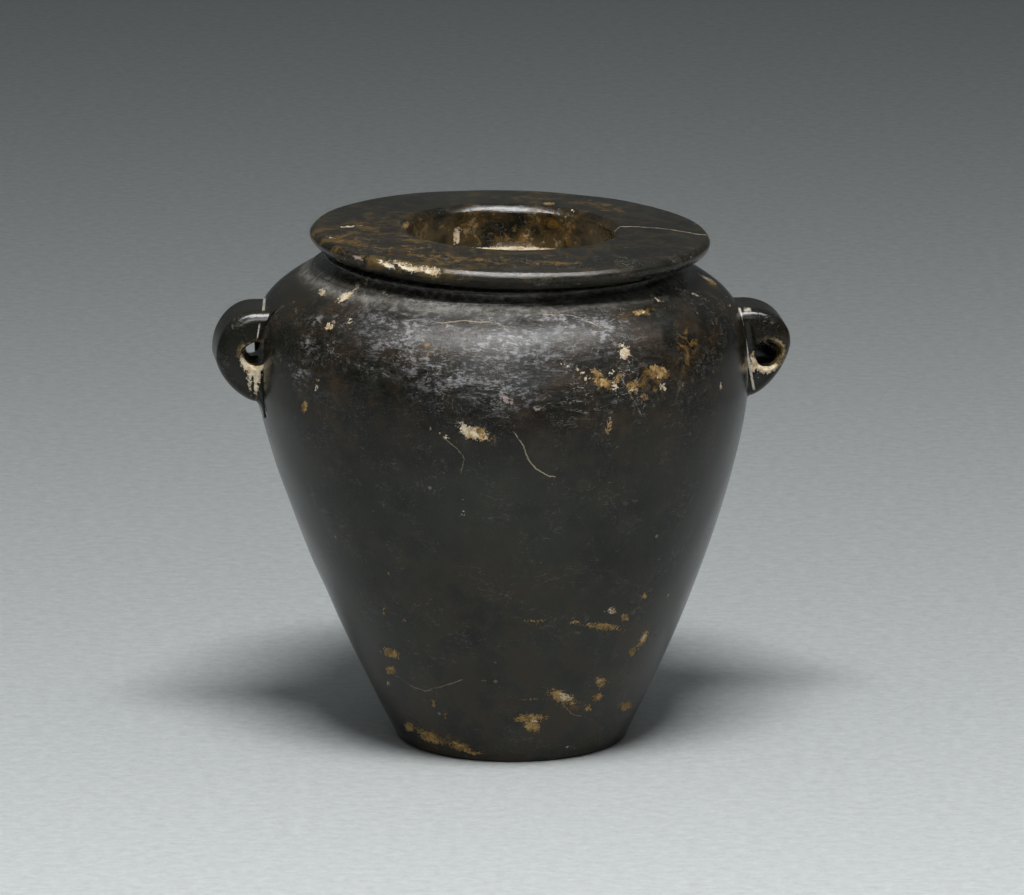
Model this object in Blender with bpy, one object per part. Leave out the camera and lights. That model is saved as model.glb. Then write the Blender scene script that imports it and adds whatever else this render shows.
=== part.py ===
"""Serpentine stone jar with two pierced lug handles, carved and drilled from one block.

Metres, +Z up. The origin is the centre of the flat underside. +X runs from the left lug to the
right lug, and -Y is the front. The body, rim, lugs and hollow are one solid, named jar.
"""

import math

import bmesh
import bpy
from mathutils import Matrix, Vector

MM = 0.001

# Body: a foot, a wall that swells to the belly, and a round shoulder
JAR_HEIGHT = 93.7 * MM
FOOT_RADIUS = 20.6 * MM
FOOT_ARRIS = 0.9 * MM
BELLY_RADIUS = 44.3 * MM
BELLY_HEIGHT = 65.9 * MM
WALL_SWELL = 1.39
SHOULDER_FULLNESS = 4.8
SHOULDER_SWEEP = 1.32
SHOULDER_LEAN = -2.6 * MM
LEAN_GROWTH = 1.5

# Neck: a short hollowed throat with one thin raised ring under the rim
NECK_RADIUS = 33.2 * MM
NECK_DROP = 6.1 * MM
NECK_HOLLOW = 1.0 * MM
RING_STANDOFF = 0.45 * MM
RING_DROP = 4.35 * MM
RING_HALF_WIDTH = 0.45 * MM

# Rim: a broad disc, a little out of level, bevelled underneath and crowned on top
RIM_RADIUS = 35.8 * MM
RIM_DROP = 3.5 * MM
RIM_UNDERCUT = 3.8 * MM
RIM_ARRIS = 0.5 * MM
RIM_CROWN = 0.7 * MM
RIM_TILT = math.radians(1.4)
RIM_OFFSET = -0.2 * MM

# Hollow: a drilled mouth, a rough ledge and a narrower tapering shaft
MOUTH_RADIUS = 18.5 * MM
MOUTH_LIP = 1.5 * MM
MOUTH_DEPTH = 7.6 * MM
SHAFT_TOP_RADIUS = 12.6 * MM
LEDGE_FALL = 1.8 * MM
SHAFT_FLOOR_RADIUS = 8.8 * MM
FLOOR_THICKNESS = 11.5 * MM
FLOOR_ROUND = 4.0 * MM

# Lugs: half discs seen from the front, carved by eye, so the left one stands higher. The pair
# is turned about the body, left lug forwards, and each height is that of the widest point.
LUG_TURN = math.radians(6.6)
LUG_LENGTH = 12.8 * MM
LUG_ROUND = 1.1 * MM
LUG_CROWN = 2.0
LUG_SLOPE = 1.55
LUG_ROOT = 5.0 * MM
LEFT_LUG_HEIGHT = 71.8 * MM
LEFT_LUG_STANDOFF = 7.3 * MM
LEFT_LUG_ABOVE = 8.8 * MM
LEFT_LUG_BELOW = 8.0 * MM
RIGHT_LUG_HEIGHT = 72.4 * MM
RIGHT_LUG_STANDOFF = 7.7 * MM
RIGHT_LUG_ABOVE = 6.3 * MM
RIGHT_LUG_BELOW = 9.9 * MM

# Lug holes: drilled from both ends, so that they narrow to a waist and bend there. Each place
# is a distance out from the belly's surface, at the front face, the waist and the back face,
# and each rise is measured from the lug's widest point.
HOLE_MOUTH_RADIUS = 2.55 * MM
HOLE_WAIST_RADIUS = 1.75 * MM
HOLE_OVERRUN = 1.2 * MM
LEFT_HOLE_RISE = 0.9 * MM
LEFT_HOLE_OUT = (0.3 * MM, -0.2 * MM, 0.7 * MM)
RIGHT_HOLE_RISE = -2.0 * MM
RIGHT_HOLE_OUT = (3.4 * MM, 2.4 * MM, 0.3 * MM)

# Fineness of the faceted solid
TURN_SIDES = 72
WALL_STEPS = 10
SHOULDER_STEPS = 11
ROUND_STEPS = 3
HOLE_SIDES = 20
LUG_STEPS = 12

STONE_COLOUR = (0.012, 0.013, 0.011, 1.0)
STONE_ROUGHNESS = 0.25

RIM_EDGE_Z = JAR_HEIGHT - RIM_CROWN
NECK_Z = RIM_EDGE_Z - NECK_DROP


def clear_scene():
    for old in list(bpy.data.objects):
        bpy.data.objects.remove(old)


def axis_x(z):
    """The body's own axis leans a little to the left as it rises towards the neck."""
    share = min(max(z / NECK_Z, 0.0), 1.0)
    return SHOULDER_LEAN * share**LEAN_GROWTH


def wall_radius(z):
    """Outside radius from the underside up to the belly."""
    share = 1.0 - z / BELLY_HEIGHT
    return BELLY_RADIUS - (BELLY_RADIUS - FOOT_RADIUS) * share**WALL_SWELL


def shoulder_radius(share):
    """Outside radius from the belly, share 0, to the neck, share 1."""
    swell = (1.0 - share**SHOULDER_FULLNESS) ** SHOULDER_SWEEP
    return NECK_RADIUS + (BELLY_RADIUS - NECK_RADIUS) * swell


def foot_stations():
    """The rounded edge of the underside, as (radius, height, axis offset, tilt)."""
    inner = wall_radius(FOOT_ARRIS) - FOOT_ARRIS
    found = []
    for step in range(ROUND_STEPS + 1):
        turn = math.pi / 2 * step / ROUND_STEPS
        radius = inner + FOOT_ARRIS * math.sin(turn)
        found.append((radius, FOOT_ARRIS * (1 - math.cos(turn)), 0.0, 0.0))
    return found


def body_stations():
    found = []
    for step in range(1, WALL_STEPS + 1):
        z = FOOT_ARRIS + (BELLY_HEIGHT - FOOT_ARRIS) * step / WALL_STEPS
        found.append((wall_radius(z), z, axis_x(z), 0.0))
    for step in range(1, SHOULDER_STEPS + 1):
        share = math.sin(math.pi / 2 * step / SHOULDER_STEPS)
        z = BELLY_HEIGHT + (NECK_Z - BELLY_HEIGHT) * share
        found.append((shoulder_radius(share), z, axis_x(z), 0.0))
    return found


def neck_stations():
    """Up the hollowed neck and over its raised ring, straightening onto the rim's own axis."""
    rim_foot = RIM_RADIUS - RIM_UNDERCUT
    hollow = min(NECK_RADIUS, rim_foot) - NECK_HOLLOW
    ring_z = RIM_EDGE_Z - RING_DROP
    ring_edge = hollow + RING_STANDOFF
    ring_crest = rim_foot + RING_STANDOFF
    heights = [
        (hollow, (NECK_Z + ring_z - RING_HALF_WIDTH) / 2),
        (ring_edge, ring_z - RING_HALF_WIDTH),
        (ring_crest, ring_z - RING_HALF_WIDTH / 3),
        (ring_crest, ring_z + RING_HALF_WIDTH / 3),
        (ring_edge, ring_z + RING_HALF_WIDTH),
    ]
    found = []
    for radius, z in heights:
        share = (z - NECK_Z) / (RIM_EDGE_Z - RIM_DROP - NECK_Z)
        offset = SHOULDER_LEAN + (RIM_OFFSET - SHOULDER_LEAN) * share
        found.append((radius, z, offset, RIM_TILT * share))
    return found


def rim_stations():
    """Out along the bevelled underside, round the upper edge and in over the crowned top."""
    found = []
    bevel_height = RIM_DROP - RIM_ARRIS
    bevel_steps = 2 * ROUND_STEPS
    for step in range(bevel_steps + 1):
        turn = math.pi / 2 * step / bevel_steps
        radius = RIM_RADIUS - RIM_UNDERCUT * (1 - math.sin(turn))
        z = RIM_EDGE_Z - RIM_ARRIS - bevel_height * math.cos(turn)
        found.append((radius, z, RIM_OFFSET, RIM_TILT))
    for step in range(1, ROUND_STEPS + 1):
        turn = math.pi / 2 * step / ROUND_STEPS
        radius = RIM_RADIUS - RIM_ARRIS * (1 - math.cos(turn))
        z = RIM_EDGE_Z - RIM_ARRIS * (1 - math.sin(turn))
        found.append((radius, z, RIM_OFFSET, RIM_TILT))
    crown_radius = (RIM_RADIUS + MOUTH_RADIUS + MOUTH_LIP) / 2
    found.append((crown_radius, RIM_EDGE_Z + RIM_CROWN * 2 / 3, RIM_OFFSET, RIM_TILT))
    return found


def hollow_stations():
    """Over the mouth's rounded lip and down to the drilled floor."""
    found = []
    for step in range(ROUND_STEPS + 1):
        turn = math.pi / 2 * step / ROUND_STEPS
        radius = MOUTH_RADIUS + MOUTH_LIP * (1 - math.sin(turn))
        z = JAR_HEIGHT - MOUTH_LIP * (1 - math.cos(turn))
        found.append((radius, z, RIM_OFFSET, RIM_TILT))
    ledge_z = JAR_HEIGHT - MOUTH_DEPTH
    shaft_z = ledge_z - LEDGE_FALL
    found.append((MOUTH_RADIUS, ledge_z, 0.0, 0.0))
    found.append((SHAFT_TOP_RADIUS, shaft_z, 0.0, 0.0))
    floor_edge_z = FLOOR_THICKNESS + FLOOR_ROUND
    middle_radius = (SHAFT_TOP_RADIUS + SHAFT_FLOOR_RADIUS) / 2
    found.append((middle_radius, (shaft_z + floor_edge_z) / 2, 0.0, 0.0))
    for step in range(ROUND_STEPS + 1):
        turn = math.pi / 2 * step / (ROUND_STEPS + 1)
        radius = SHAFT_FLOOR_RADIUS - FLOOR_ROUND * (1 - math.cos(turn))
        z = floor_edge_z - FLOOR_ROUND * math.sin(turn)
        found.append((radius, z, 0.0, 0.0))
    return found


def ring_of_edges(bm, radius, matrix, sides):
    """One circle of edges, placed by the matrix."""
    made = bmesh.ops.create_circle(bm, cap_ends=False, radius=radius, segments=sides, matrix=matrix)
    return list({edge for vert in made["verts"] for edge in vert.link_edges})


def loft(bm, rings):
    """Skins a row of edge rings and closes the first and last with a flat face each."""
    for lower, upper in zip(rings, rings[1:]):
        bmesh.ops.bridge_loops(bm, edges=lower + upper)
    bmesh.ops.contextual_create(bm, geom=rings[0])
    bmesh.ops.contextual_create(bm, geom=rings[-1])
    bmesh.ops.recalc_face_normals(bm, faces=bm.faces)


def new_object(name, bm):
    mesh = bpy.data.meshes.new(name)
    bm.to_mesh(mesh)
    bm.free()
    thing = bpy.data.objects.new(name, mesh)
    bpy.context.scene.collection.objects.link(thing)
    return thing


def tilt_about_rim(tilt):
    """Turns about the line through the middle of the rim, right side down."""
    pivot = Vector((0.0, 0.0, RIM_EDGE_Z))
    turn = Matrix.Rotation(tilt, 4, "Y")
    return Matrix.Translation(pivot) @ turn @ Matrix.Translation(-pivot)


def turned_body():
    stations = foot_stations() + body_stations() + neck_stations()
    stations += rim_stations() + hollow_stations()
    bm = bmesh.new()
    rings = []
    for radius, z, offset, tilt in stations:
        place = tilt_about_rim(tilt) @ Matrix.Translation((offset, 0.0, z))
        rings.append(ring_of_edges(bm, radius, place, TURN_SIDES))
    loft(bm, rings)
    return new_object("jar", bm)


def turned_lug_place(height):
    """Turns a lug and its drill about the body's own axis, which leans with height."""
    return Matrix.Translation((axis_x(height), 0.0, 0.0)) @ Matrix.Rotation(LUG_TURN, 4, "Z")


def lug_outline(standoff, above, below):
    """Rounded above the widest point and sloping below it, then the root inside the wall.

    Points are (distance out from the belly's surface, height above the widest point).
    """
    points = []
    bend = 2.0 / LUG_CROWN
    for step in range(LUG_STEPS + 1):
        turn = math.pi / 2 * (1 - step / LUG_STEPS)
        out = standoff * max(math.cos(turn), 0.0) ** bend
        points.append((out, above * math.sin(turn) ** bend))
    bend = 2.0 / LUG_SLOPE
    for step in range(1, LUG_STEPS + 1):
        turn = math.pi / 2 * step / LUG_STEPS
        out = standoff * max(math.cos(turn), 0.0) ** bend
        points.append((out, -below * math.sin(turn) ** bend))
    points.append((-LUG_ROOT, -below))
    points.append((-LUG_ROOT, above))
    return points


def lug_block(name, side, height, outline):
    """The lug's outline drawn out from front to back, with its two outer edges rounded."""
    bm = bmesh.new()
    front = LUG_LENGTH / 2
    verts = []
    for out, up in outline:
        verts.append(bm.verts.new((side * (BELLY_RADIUS + out), -front, height + up)))
    face = bm.faces.new(verts)
    drawn = bmesh.ops.extrude_face_region(bm, geom=[face])
    back = [part for part in drawn["geom"] if isinstance(part, bmesh.types.BMVert)]
    bmesh.ops.translate(bm, verts=back, vec=(0.0, LUG_LENGTH, 0.0))
    arrises = []
    for edge in bm.edges:
        ends = [vert.co for vert in edge.verts]
        along = abs(ends[0].y - ends[1].y) > LUG_LENGTH / 2
        buried = any(side * co.x < BELLY_RADIUS - LUG_ROOT / 2 for co in ends)
        if not along and not buried:
            arrises.append(edge)
    bmesh.ops.bevel(
        bm, geom=arrises, offset=LUG_ROUND, segments=ROUND_STEPS, profile=0.5, affect="EDGES"
    )
    bmesh.ops.recalc_face_normals(bm, faces=bm.faces)
    bmesh.ops.transform(bm, matrix=turned_lug_place(height), verts=bm.verts)
    return new_object(name, bm)


def hole_drill(name, side, height, places_out):
    """A drill that is wide at both ends of the lug and narrow at its waist."""
    reach = LUG_LENGTH / 2
    front_out, waist_out, back_out = places_out
    stretch = (reach + HOLE_OVERRUN) / reach
    wide = HOLE_WAIST_RADIUS + (HOLE_MOUTH_RADIUS - HOLE_WAIST_RADIUS) * stretch
    stations = [
        (-reach * stretch, waist_out + (front_out - waist_out) * stretch, wide),
        (0.0, waist_out, HOLE_WAIST_RADIUS),
        (reach * stretch, waist_out + (back_out - waist_out) * stretch, wide),
    ]
    bm = bmesh.new()
    rings = []
    for y, out, radius in stations:
        spot = (side * (BELLY_RADIUS + out), y, height)
        place = turned_lug_place(height) @ Matrix.Translation(spot)
        place = place @ Matrix.Rotation(math.pi / 2, 4, "X")
        rings.append(ring_of_edges(bm, radius, place, HOLE_SIDES))
    loft(bm, rings)
    return new_object(name, bm)


def combine(target, other, operation):
    """Joins the other shape to the target, or cuts it out, and hides it as a tool."""
    step = target.modifiers.new(other.name, "BOOLEAN")
    step.operation = operation
    step.solver = "EXACT"
    step.object = other
    other.hide_render = True
    other.display_type = "WIRE"


def serpentine():
    stone = bpy.data.materials.new("serpentine")
    stone.use_nodes = True
    shader = stone.node_tree.nodes["Principled BSDF"]
    shader.inputs["Base Color"].default_value = STONE_COLOUR
    shader.inputs["Roughness"].default_value = STONE_ROUGHNESS
    shader.inputs["Metallic"].default_value = 0.0
    return stone


def build_jar():
    clear_scene()
    jar = turned_body()
    left_outline = lug_outline(LEFT_LUG_STANDOFF, LEFT_LUG_ABOVE, LEFT_LUG_BELOW)
    right_outline = lug_outline(RIGHT_LUG_STANDOFF, RIGHT_LUG_ABOVE, RIGHT_LUG_BELOW)
    combine(jar, lug_block("left_lug_block", -1, LEFT_LUG_HEIGHT, left_outline), "UNION")
    combine(jar, lug_block("right_lug_block", 1, RIGHT_LUG_HEIGHT, right_outline), "UNION")
    left_height = LEFT_LUG_HEIGHT + LEFT_HOLE_RISE
    right_height = RIGHT_LUG_HEIGHT + RIGHT_HOLE_RISE
    left_drill = hole_drill("left_hole_drill", -1, left_height, LEFT_HOLE_OUT)
    right_drill = hole_drill("right_hole_drill", 1, right_height, RIGHT_HOLE_OUT)
    combine(jar, left_drill, "DIFFERENCE")
    combine(jar, right_drill, "DIFFERENCE")
    jar.data.materials.append(serpentine())
    jar.data.shade_smooth()
    jar.data.set_sharp_from_angle(angle=math.radians(35))


build_jar()
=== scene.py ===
import math

import bpy
import numpy as np
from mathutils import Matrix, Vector


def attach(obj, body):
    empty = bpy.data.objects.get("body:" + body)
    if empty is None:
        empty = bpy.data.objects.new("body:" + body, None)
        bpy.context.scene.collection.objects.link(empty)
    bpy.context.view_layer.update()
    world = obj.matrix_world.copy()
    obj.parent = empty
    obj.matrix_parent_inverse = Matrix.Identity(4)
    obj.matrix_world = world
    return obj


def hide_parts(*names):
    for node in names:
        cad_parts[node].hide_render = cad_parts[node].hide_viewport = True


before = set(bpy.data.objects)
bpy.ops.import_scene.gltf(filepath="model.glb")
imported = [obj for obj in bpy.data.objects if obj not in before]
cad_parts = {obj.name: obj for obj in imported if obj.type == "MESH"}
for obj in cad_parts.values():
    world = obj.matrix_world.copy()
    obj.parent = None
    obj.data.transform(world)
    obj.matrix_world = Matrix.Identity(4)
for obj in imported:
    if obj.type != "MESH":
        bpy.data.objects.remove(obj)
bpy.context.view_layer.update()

# The jar
# One block of dark green serpentine, ground to shape and polished by hand, with a drilled hollow
# and a pierced lug at each side. All its sizes are in millimetres and go into the mesh in metres.

JAR_HEIGHT = 93.7
FOOT_RADIUS = 20.6
FOOT_ARRIS = 0.9
BELLY_RADIUS = 44.3
BELLY_HEIGHT = 65.9
WALL_POWER = 1.39
SHOULDER_LEAN = -2.6
NECK_RADIUS = 33.2
RIM_EDGE_Z = JAR_HEIGHT - 0.7
NECK_Z = RIM_EDGE_Z - 6.1
RIM_RADIUS = 35.8
RIM_TILT = math.radians(1.4)
RIM_OFFSET = -0.2
MOUTH_RADIUS = 18.5
MOUTH_DEPTH = 7.6
SHAFT_TOP_RADIUS = 12.6
SHAFT_NARROWS = 3.8
SHAFT_END_Z = 15.5
FLOOR_Z = 11.4
TURN_STEPS = 320
FRONT_CROWDING = 0.55


def body_axis_x(z):
    """The body's own axis leans to the left as the 1.5th power of height, up to the neck."""
    return SHOULDER_LEAN * np.clip(z / NECK_Z, 0, 1) ** 1.5


def smooth_step(low, high, value):
    """Nought below low, one above high, and an S-shaped rise between them."""
    share = np.clip((value - low) / (high - low), 0, 1)
    return share * share * (3 - 2 * share)


def jar_profile():
    """The jar's half section, from the middle of the underside out, up, over and down inside.

    The foot is a quarter circle, the wall a power curve, the shoulder a superellipse, the neck
    two hollows with a raised ring between them, the rim's underside a quarter ellipse, its edge
    and the mouth's lip flats worn at about 44 degrees, and the shaft a straight taper with a
    rounded floor.
    Each row is (radius, height, share of the rim's tilt and offset).
    """
    rows = []

    def stretch(radius, z, rim_share):
        rows.append(np.column_stack([radius, z, np.broadcast_to(rim_share, radius.shape)]))

    def worn_edge(headings, lengths):
        """Running sums of short steps, each one along its heading, in degrees from straight up."""
        heading = np.radians(headings)
        return np.cumsum(-np.sin(heading) * lengths), np.cumsum(np.cos(heading) * lengths)

    quarter = np.linspace(0, np.pi / 2, 8)
    foot = BELLY_RADIUS - (BELLY_RADIUS - FOOT_RADIUS) * (1 - FOOT_ARRIS / BELLY_HEIGHT) ** WALL_POWER
    flat = np.linspace(2.0, foot - FOOT_ARRIS, 6)[:-1]
    stretch(flat, np.zeros(5), 0.0)
    edge = foot - FOOT_ARRIS + FOOT_ARRIS * np.sin(quarter)
    stretch(edge, FOOT_ARRIS * (1 - np.cos(quarter)), 0.0)

    z = np.linspace(FOOT_ARRIS, BELLY_HEIGHT, 85)[1:]
    wall = BELLY_RADIUS - (BELLY_RADIUS - FOOT_RADIUS) * (1 - z / BELLY_HEIGHT) ** WALL_POWER
    stretch(wall, z, 0.0)

    share = np.sin(np.linspace(0, np.pi / 2, 46)[1:])
    swell = np.maximum(1 - share**4.8, 0) ** 1.32
    z = BELLY_HEIGHT + (NECK_Z - BELLY_HEIGHT) * share
    stretch(NECK_RADIUS + (BELLY_RADIUS - NECK_RADIUS) * swell, z, 0.0)

    throat = RIM_RADIUS - 3.8
    z = np.linspace(NECK_Z, RIM_EDGE_Z - 3.5, 23)[1:-1]
    up = (z - NECK_Z) / (RIM_EDGE_Z - 3.5 - NECK_Z)
    hollow = NECK_RADIUS + (throat - NECK_RADIUS) * up - 1.15 * np.sin(np.pi * up) ** 0.7
    ring = 1.0 * np.exp(-(((z - (RIM_EDGE_Z - 4.35)) / 0.34) ** 2))
    stretch(hollow + ring, z, up)

    headings = np.array([6, 18, 30, 38, 41, 42.5, 44, 45.5, 48, 60, 73, 85])
    lengths = np.array([0.12, 0.14, 0.16, 0.14, 0.13, 0.14, 0.14, 0.13, 0.12, 0.12, 0.1, 0.08])
    inward, upward = worn_edge(headings, lengths)
    arris = upward[-1]
    bevel = np.linspace(0, np.pi / 2, 17)
    radius = RIM_RADIUS - 3.8 * (1 - np.sin(bevel))
    stretch(radius, RIM_EDGE_Z - arris - (3.5 - arris) * np.cos(bevel), 1.0)
    stretch(RIM_RADIUS + inward, RIM_EDGE_Z - arris + upward, 1.0)

    headings = np.array([96, 110, 123, 129, 132.5, 135, 137.5, 141, 150, 164, 176])
    lengths = np.array([0.12, 0.12, 0.14, 0.26, 0.28, 0.28, 0.28, 0.26, 0.18, 0.16, 0.14])
    across, down = worn_edge(headings, lengths)
    outer, inner = RIM_RADIUS + inward[-1], MOUTH_RADIUS - across[-1]
    radius = np.linspace(outer, inner, 27)[1:]
    share = (outer - radius) / (outer - inner)
    stretch(radius, RIM_EDGE_Z + 0.7 * np.sin(np.pi / 2 * share), 1.0)
    stretch(inner + across, JAR_HEIGHT + down, 1.0)
    lip = -down[-1]

    ledge_z = JAR_HEIGHT - MOUTH_DEPTH
    z = np.linspace(JAR_HEIGHT - lip, ledge_z + 0.6, 11)[1:]
    share = (JAR_HEIGHT - lip - z) / (JAR_HEIGHT - lip - ledge_z)
    stretch(np.full(10, MOUTH_RADIUS) + 0.25 * np.sin(np.pi * share), z, 1 - share)
    radius = np.linspace(MOUTH_RADIUS - 0.3, 12.9, 10)
    share = (MOUTH_RADIUS - radius) / (MOUTH_RADIUS - SHAFT_TOP_RADIUS)
    stretch(radius, ledge_z - 1.8 * share**1.3, 0.0)
    z = np.linspace(ledge_z - 2.2, SHAFT_END_Z, 13)
    share = (ledge_z - 1.8 - z) / (ledge_z - 1.8 - SHAFT_END_Z)
    stretch(SHAFT_TOP_RADIUS - SHAFT_NARROWS * share, z, 0.0)
    round_off = np.linspace(0, np.pi / 2, 8)[1:]
    radius = SHAFT_TOP_RADIUS - SHAFT_NARROWS - 4.0 * (1 - np.cos(round_off))
    stretch(radius, SHAFT_END_Z - 4.0 * np.sin(round_off), 0.0)
    stretch(np.array([3.0, 1.2]), np.array([FLOOR_Z + 0.05, FLOOR_Z]), 0.0)
    return np.vstack(rows)


section = jar_profile()
section_reach = np.append(0, np.cumsum(np.hypot(*np.diff(section[:, :2], axis=0).T)))


def tilt_with_rim(points, share):
    """Turns points about the rim's middle, right side down, by their share of the rim's tilt."""
    angle = RIM_TILT * share
    x = points[..., 0] + RIM_OFFSET * share
    z = points[..., 2] - RIM_EDGE_Z
    turned_x = x * np.cos(angle) + z * np.sin(angle)
    turned_z = z * np.cos(angle) - x * np.sin(angle) + RIM_EDGE_Z
    return np.stack([turned_x, points[..., 1], turned_z], axis=-1)


def round_the_jar(radius, z, share, turn):
    """Points of the body, each ring set on the leaning axis or, by its share, on the rim's.

    The hollow is drilled straight down, so its rings don't lean.
    """
    lean = np.where(radius < MOUTH_RADIUS + 0.5, 0.0, body_axis_x(z) * (1 - share))
    x = radius * np.cos(turn) + lean
    return tilt_with_rim(np.stack([x, radius * np.sin(turn), z + 0 * turn], -1), share + 0 * turn)


def closed_tube(name, rings, first_pole, last_pole, around=None, reach=None):
    """A mesh from rings of points, each ring closed on itself, with a fan of faces at each end.

    A point of the body keeps its turn round the axis, in degrees, and its reach, the length in
    millimetres along the half section.
    """
    count, sides = rings.shape[:2]
    points = np.vstack([rings.reshape(-1, 3), first_pole, last_pole])
    ring = np.arange(sides)
    after = np.roll(ring, -1)
    start = np.arange(count - 1)[:, None] * sides
    quads = np.stack([start + ring, start + after, start + sides + after, start + sides + ring], -1)
    foot, top = count * sides, count * sides + 1
    first_fan = np.column_stack([np.full(sides, foot), after, ring])
    last_fan = np.column_stack([np.full(sides, top), ring + top - 1 - sides, after + top - 1 - sides])
    faces = quads.reshape(-1, 4).tolist() + first_fan.tolist() + last_fan.tolist()
    mesh = bpy.data.meshes.new(name)
    mesh.from_pydata((points * 0.001).tolist(), [], faces)
    mesh.update()
    blank = np.zeros(rings.shape[:2])
    for label, values in (("around", around), ("reach", reach)):
        values = blank if values is None else values
        field = mesh.attributes.new(label, "FLOAT", "POINT")
        field.data.foreach_set("value", np.append(values.ravel(), values[[0, -1], 0]).astype("f"))
    thing = bpy.data.objects.new(name, mesh)
    bpy.context.scene.collection.objects.link(thing)
    return thing


def jar_body():
    """The half section carried round the jar.

    The steps round the jar shrink by the crowding's share at the front, which has most to show.
    """
    radius, z, share = (column[:, None] for column in section.T)
    turn = np.linspace(0, 2 * np.pi, TURN_STEPS, endpoint=False)[None, :]
    turn = turn - FRONT_CROWDING * np.sin(turn + np.pi / 2)
    points = round_the_jar(radius, z, share, turn)
    poles = np.array([[0, 0, 0.0]]), np.array([[0, 0, FLOOR_Z]])
    around = (np.degrees(turn) + 270) % 360 - 270 + 0 * z
    reach = section_reach[:, None] + 0 * turn
    return closed_tube("stone_jar", points, *poles, around, reach)


# Each lug is a half disc from the front, sloping below its widest point and flaring into the wall.
LUG_TURN = math.radians(6.6)
LUG_LENGTH = 12.8
LUG_ROUND = 2.3
# Height is the middle's, above and below are measured from it, and so is the hole's rise. The hole
# lies so far out from the belly's surface at the front, at the waist and at the back.
LUGS = {
    "left": {
        "side": -1, "height": 71.8, "standoff": 7.3, "above": 8.8, "below": 8.0, "groove": 1.1,
        "rise": 0.9, "hole_out": (0.3, -0.2, 0.7), "mouth": 2.2, "waist": 1.75, "crust": 2.6,
    },
    "right": {
        "side": 1, "height": 72.4, "standoff": 7.7, "above": 6.3, "below": 9.9, "groove": 0.45,
        "rise": -2.0, "hole_out": (3.4, 2.4, 0.3), "mouth": 2.4, "waist": 1.7, "crust": 2.8,
    },
}


def lug_place(points, height):
    """Turns a lug's points about the body's own axis at its height, left lug forwards."""
    x, y = points[..., 0], points[..., 1]
    turned_x = x * math.cos(LUG_TURN) - y * math.sin(LUG_TURN) + body_axis_x(height)
    turned_y = x * math.sin(LUG_TURN) + y * math.cos(LUG_TURN)
    return np.stack([turned_x, turned_y, points[..., 2]], axis=-1)


def lug(name, side, height, standoff, above, below):
    """A superellipse outline, rounder above than below, carried front to back.

    Below, the outline runs into the wall by a smooth maximum of the two, half their sum and half
    the root of their squared difference plus 0.8 squared. The sections shrink along a quarter
    circle at each end, which rounds the two outer arrises, and close over a slight dome.
    """
    over = np.linspace(0, np.pi / 2, 33)
    under = np.linspace(0, np.pi / 2, 33)[1:]
    out = np.concatenate(
        [standoff * np.sin(over), standoff * np.clip(np.cos(under), 0, 1) ** (2 / 1.55)]
    )
    up = np.concatenate([above * np.cos(over), -below * np.sin(under) ** (2 / 1.55)])
    tail = np.linspace(0.4, 3.2, 8)
    out = np.concatenate([out, -1.1 * tail])
    up = np.concatenate([up, -below - tail])
    wall = np.clip(1 - (height + up) / BELLY_HEIGHT, 0, 1) ** WALL_POWER
    wall = -(BELLY_RADIUS - FOOT_RADIUS) * wall - 0.5
    low = up < 0
    out[low] = 0.5 * (out + wall + np.sqrt((out - wall) ** 2 + 0.8**2))[low]
    out = np.concatenate([out, np.full(18, -6.0)])
    up = np.concatenate([up, np.linspace(-below - 3.6, above, 18)])

    bend = np.linspace(0, np.pi / 2, 7)
    inset = LUG_ROUND * (1 - np.sin(bend))
    back = LUG_ROUND * (1 - np.cos(bend))
    half = LUG_LENGTH / 2
    dome = np.array([0.15, 0.4, 0.62, 0.8, 0.92])
    middle = np.linspace(-half + LUG_ROUND, half - LUG_ROUND, 19)[1:-1]
    y = np.concatenate([-half - 0.25 * (1 - dome**2), -half + back, middle, half - back[::-1]])
    y = np.concatenate([y, half + 0.25 * (1 - dome[::-1] ** 2)])
    inset = np.concatenate([np.full(5, LUG_ROUND), inset, np.zeros(17), inset[::-1]])
    inset = np.concatenate([inset, np.full(5, LUG_ROUND)])
    scale = np.concatenate([dome, np.ones(31), dome[::-1]])

    centre = np.array([0.5, (above - below) / 2])
    outward = np.column_stack([out, up]) - centre
    length = np.linalg.norm(outward, axis=1, keepdims=True)
    shape = outward * (1 - inset[:, None, None] / length) * scale[:, None, None] + centre
    rings = np.empty(shape.shape[:2] + (3,))
    rings[..., 0] = side * (BELLY_RADIUS + shape[..., 0])
    rings[..., 1] = y[:, None]
    rings[..., 2] = height + shape[..., 1]
    poles = np.array([[side * (BELLY_RADIUS + centre[0]), 0, height + centre[1]]] * 2)
    poles[:, 1] = y[0] - 0.01, y[-1] + 0.01
    rings = rings if side > 0 else rings[:, ::-1]
    place = lug_place(rings, height), lug_place(poles[:1], height), lug_place(poles[1:], height)
    return closed_tube(name, *place)


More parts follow.
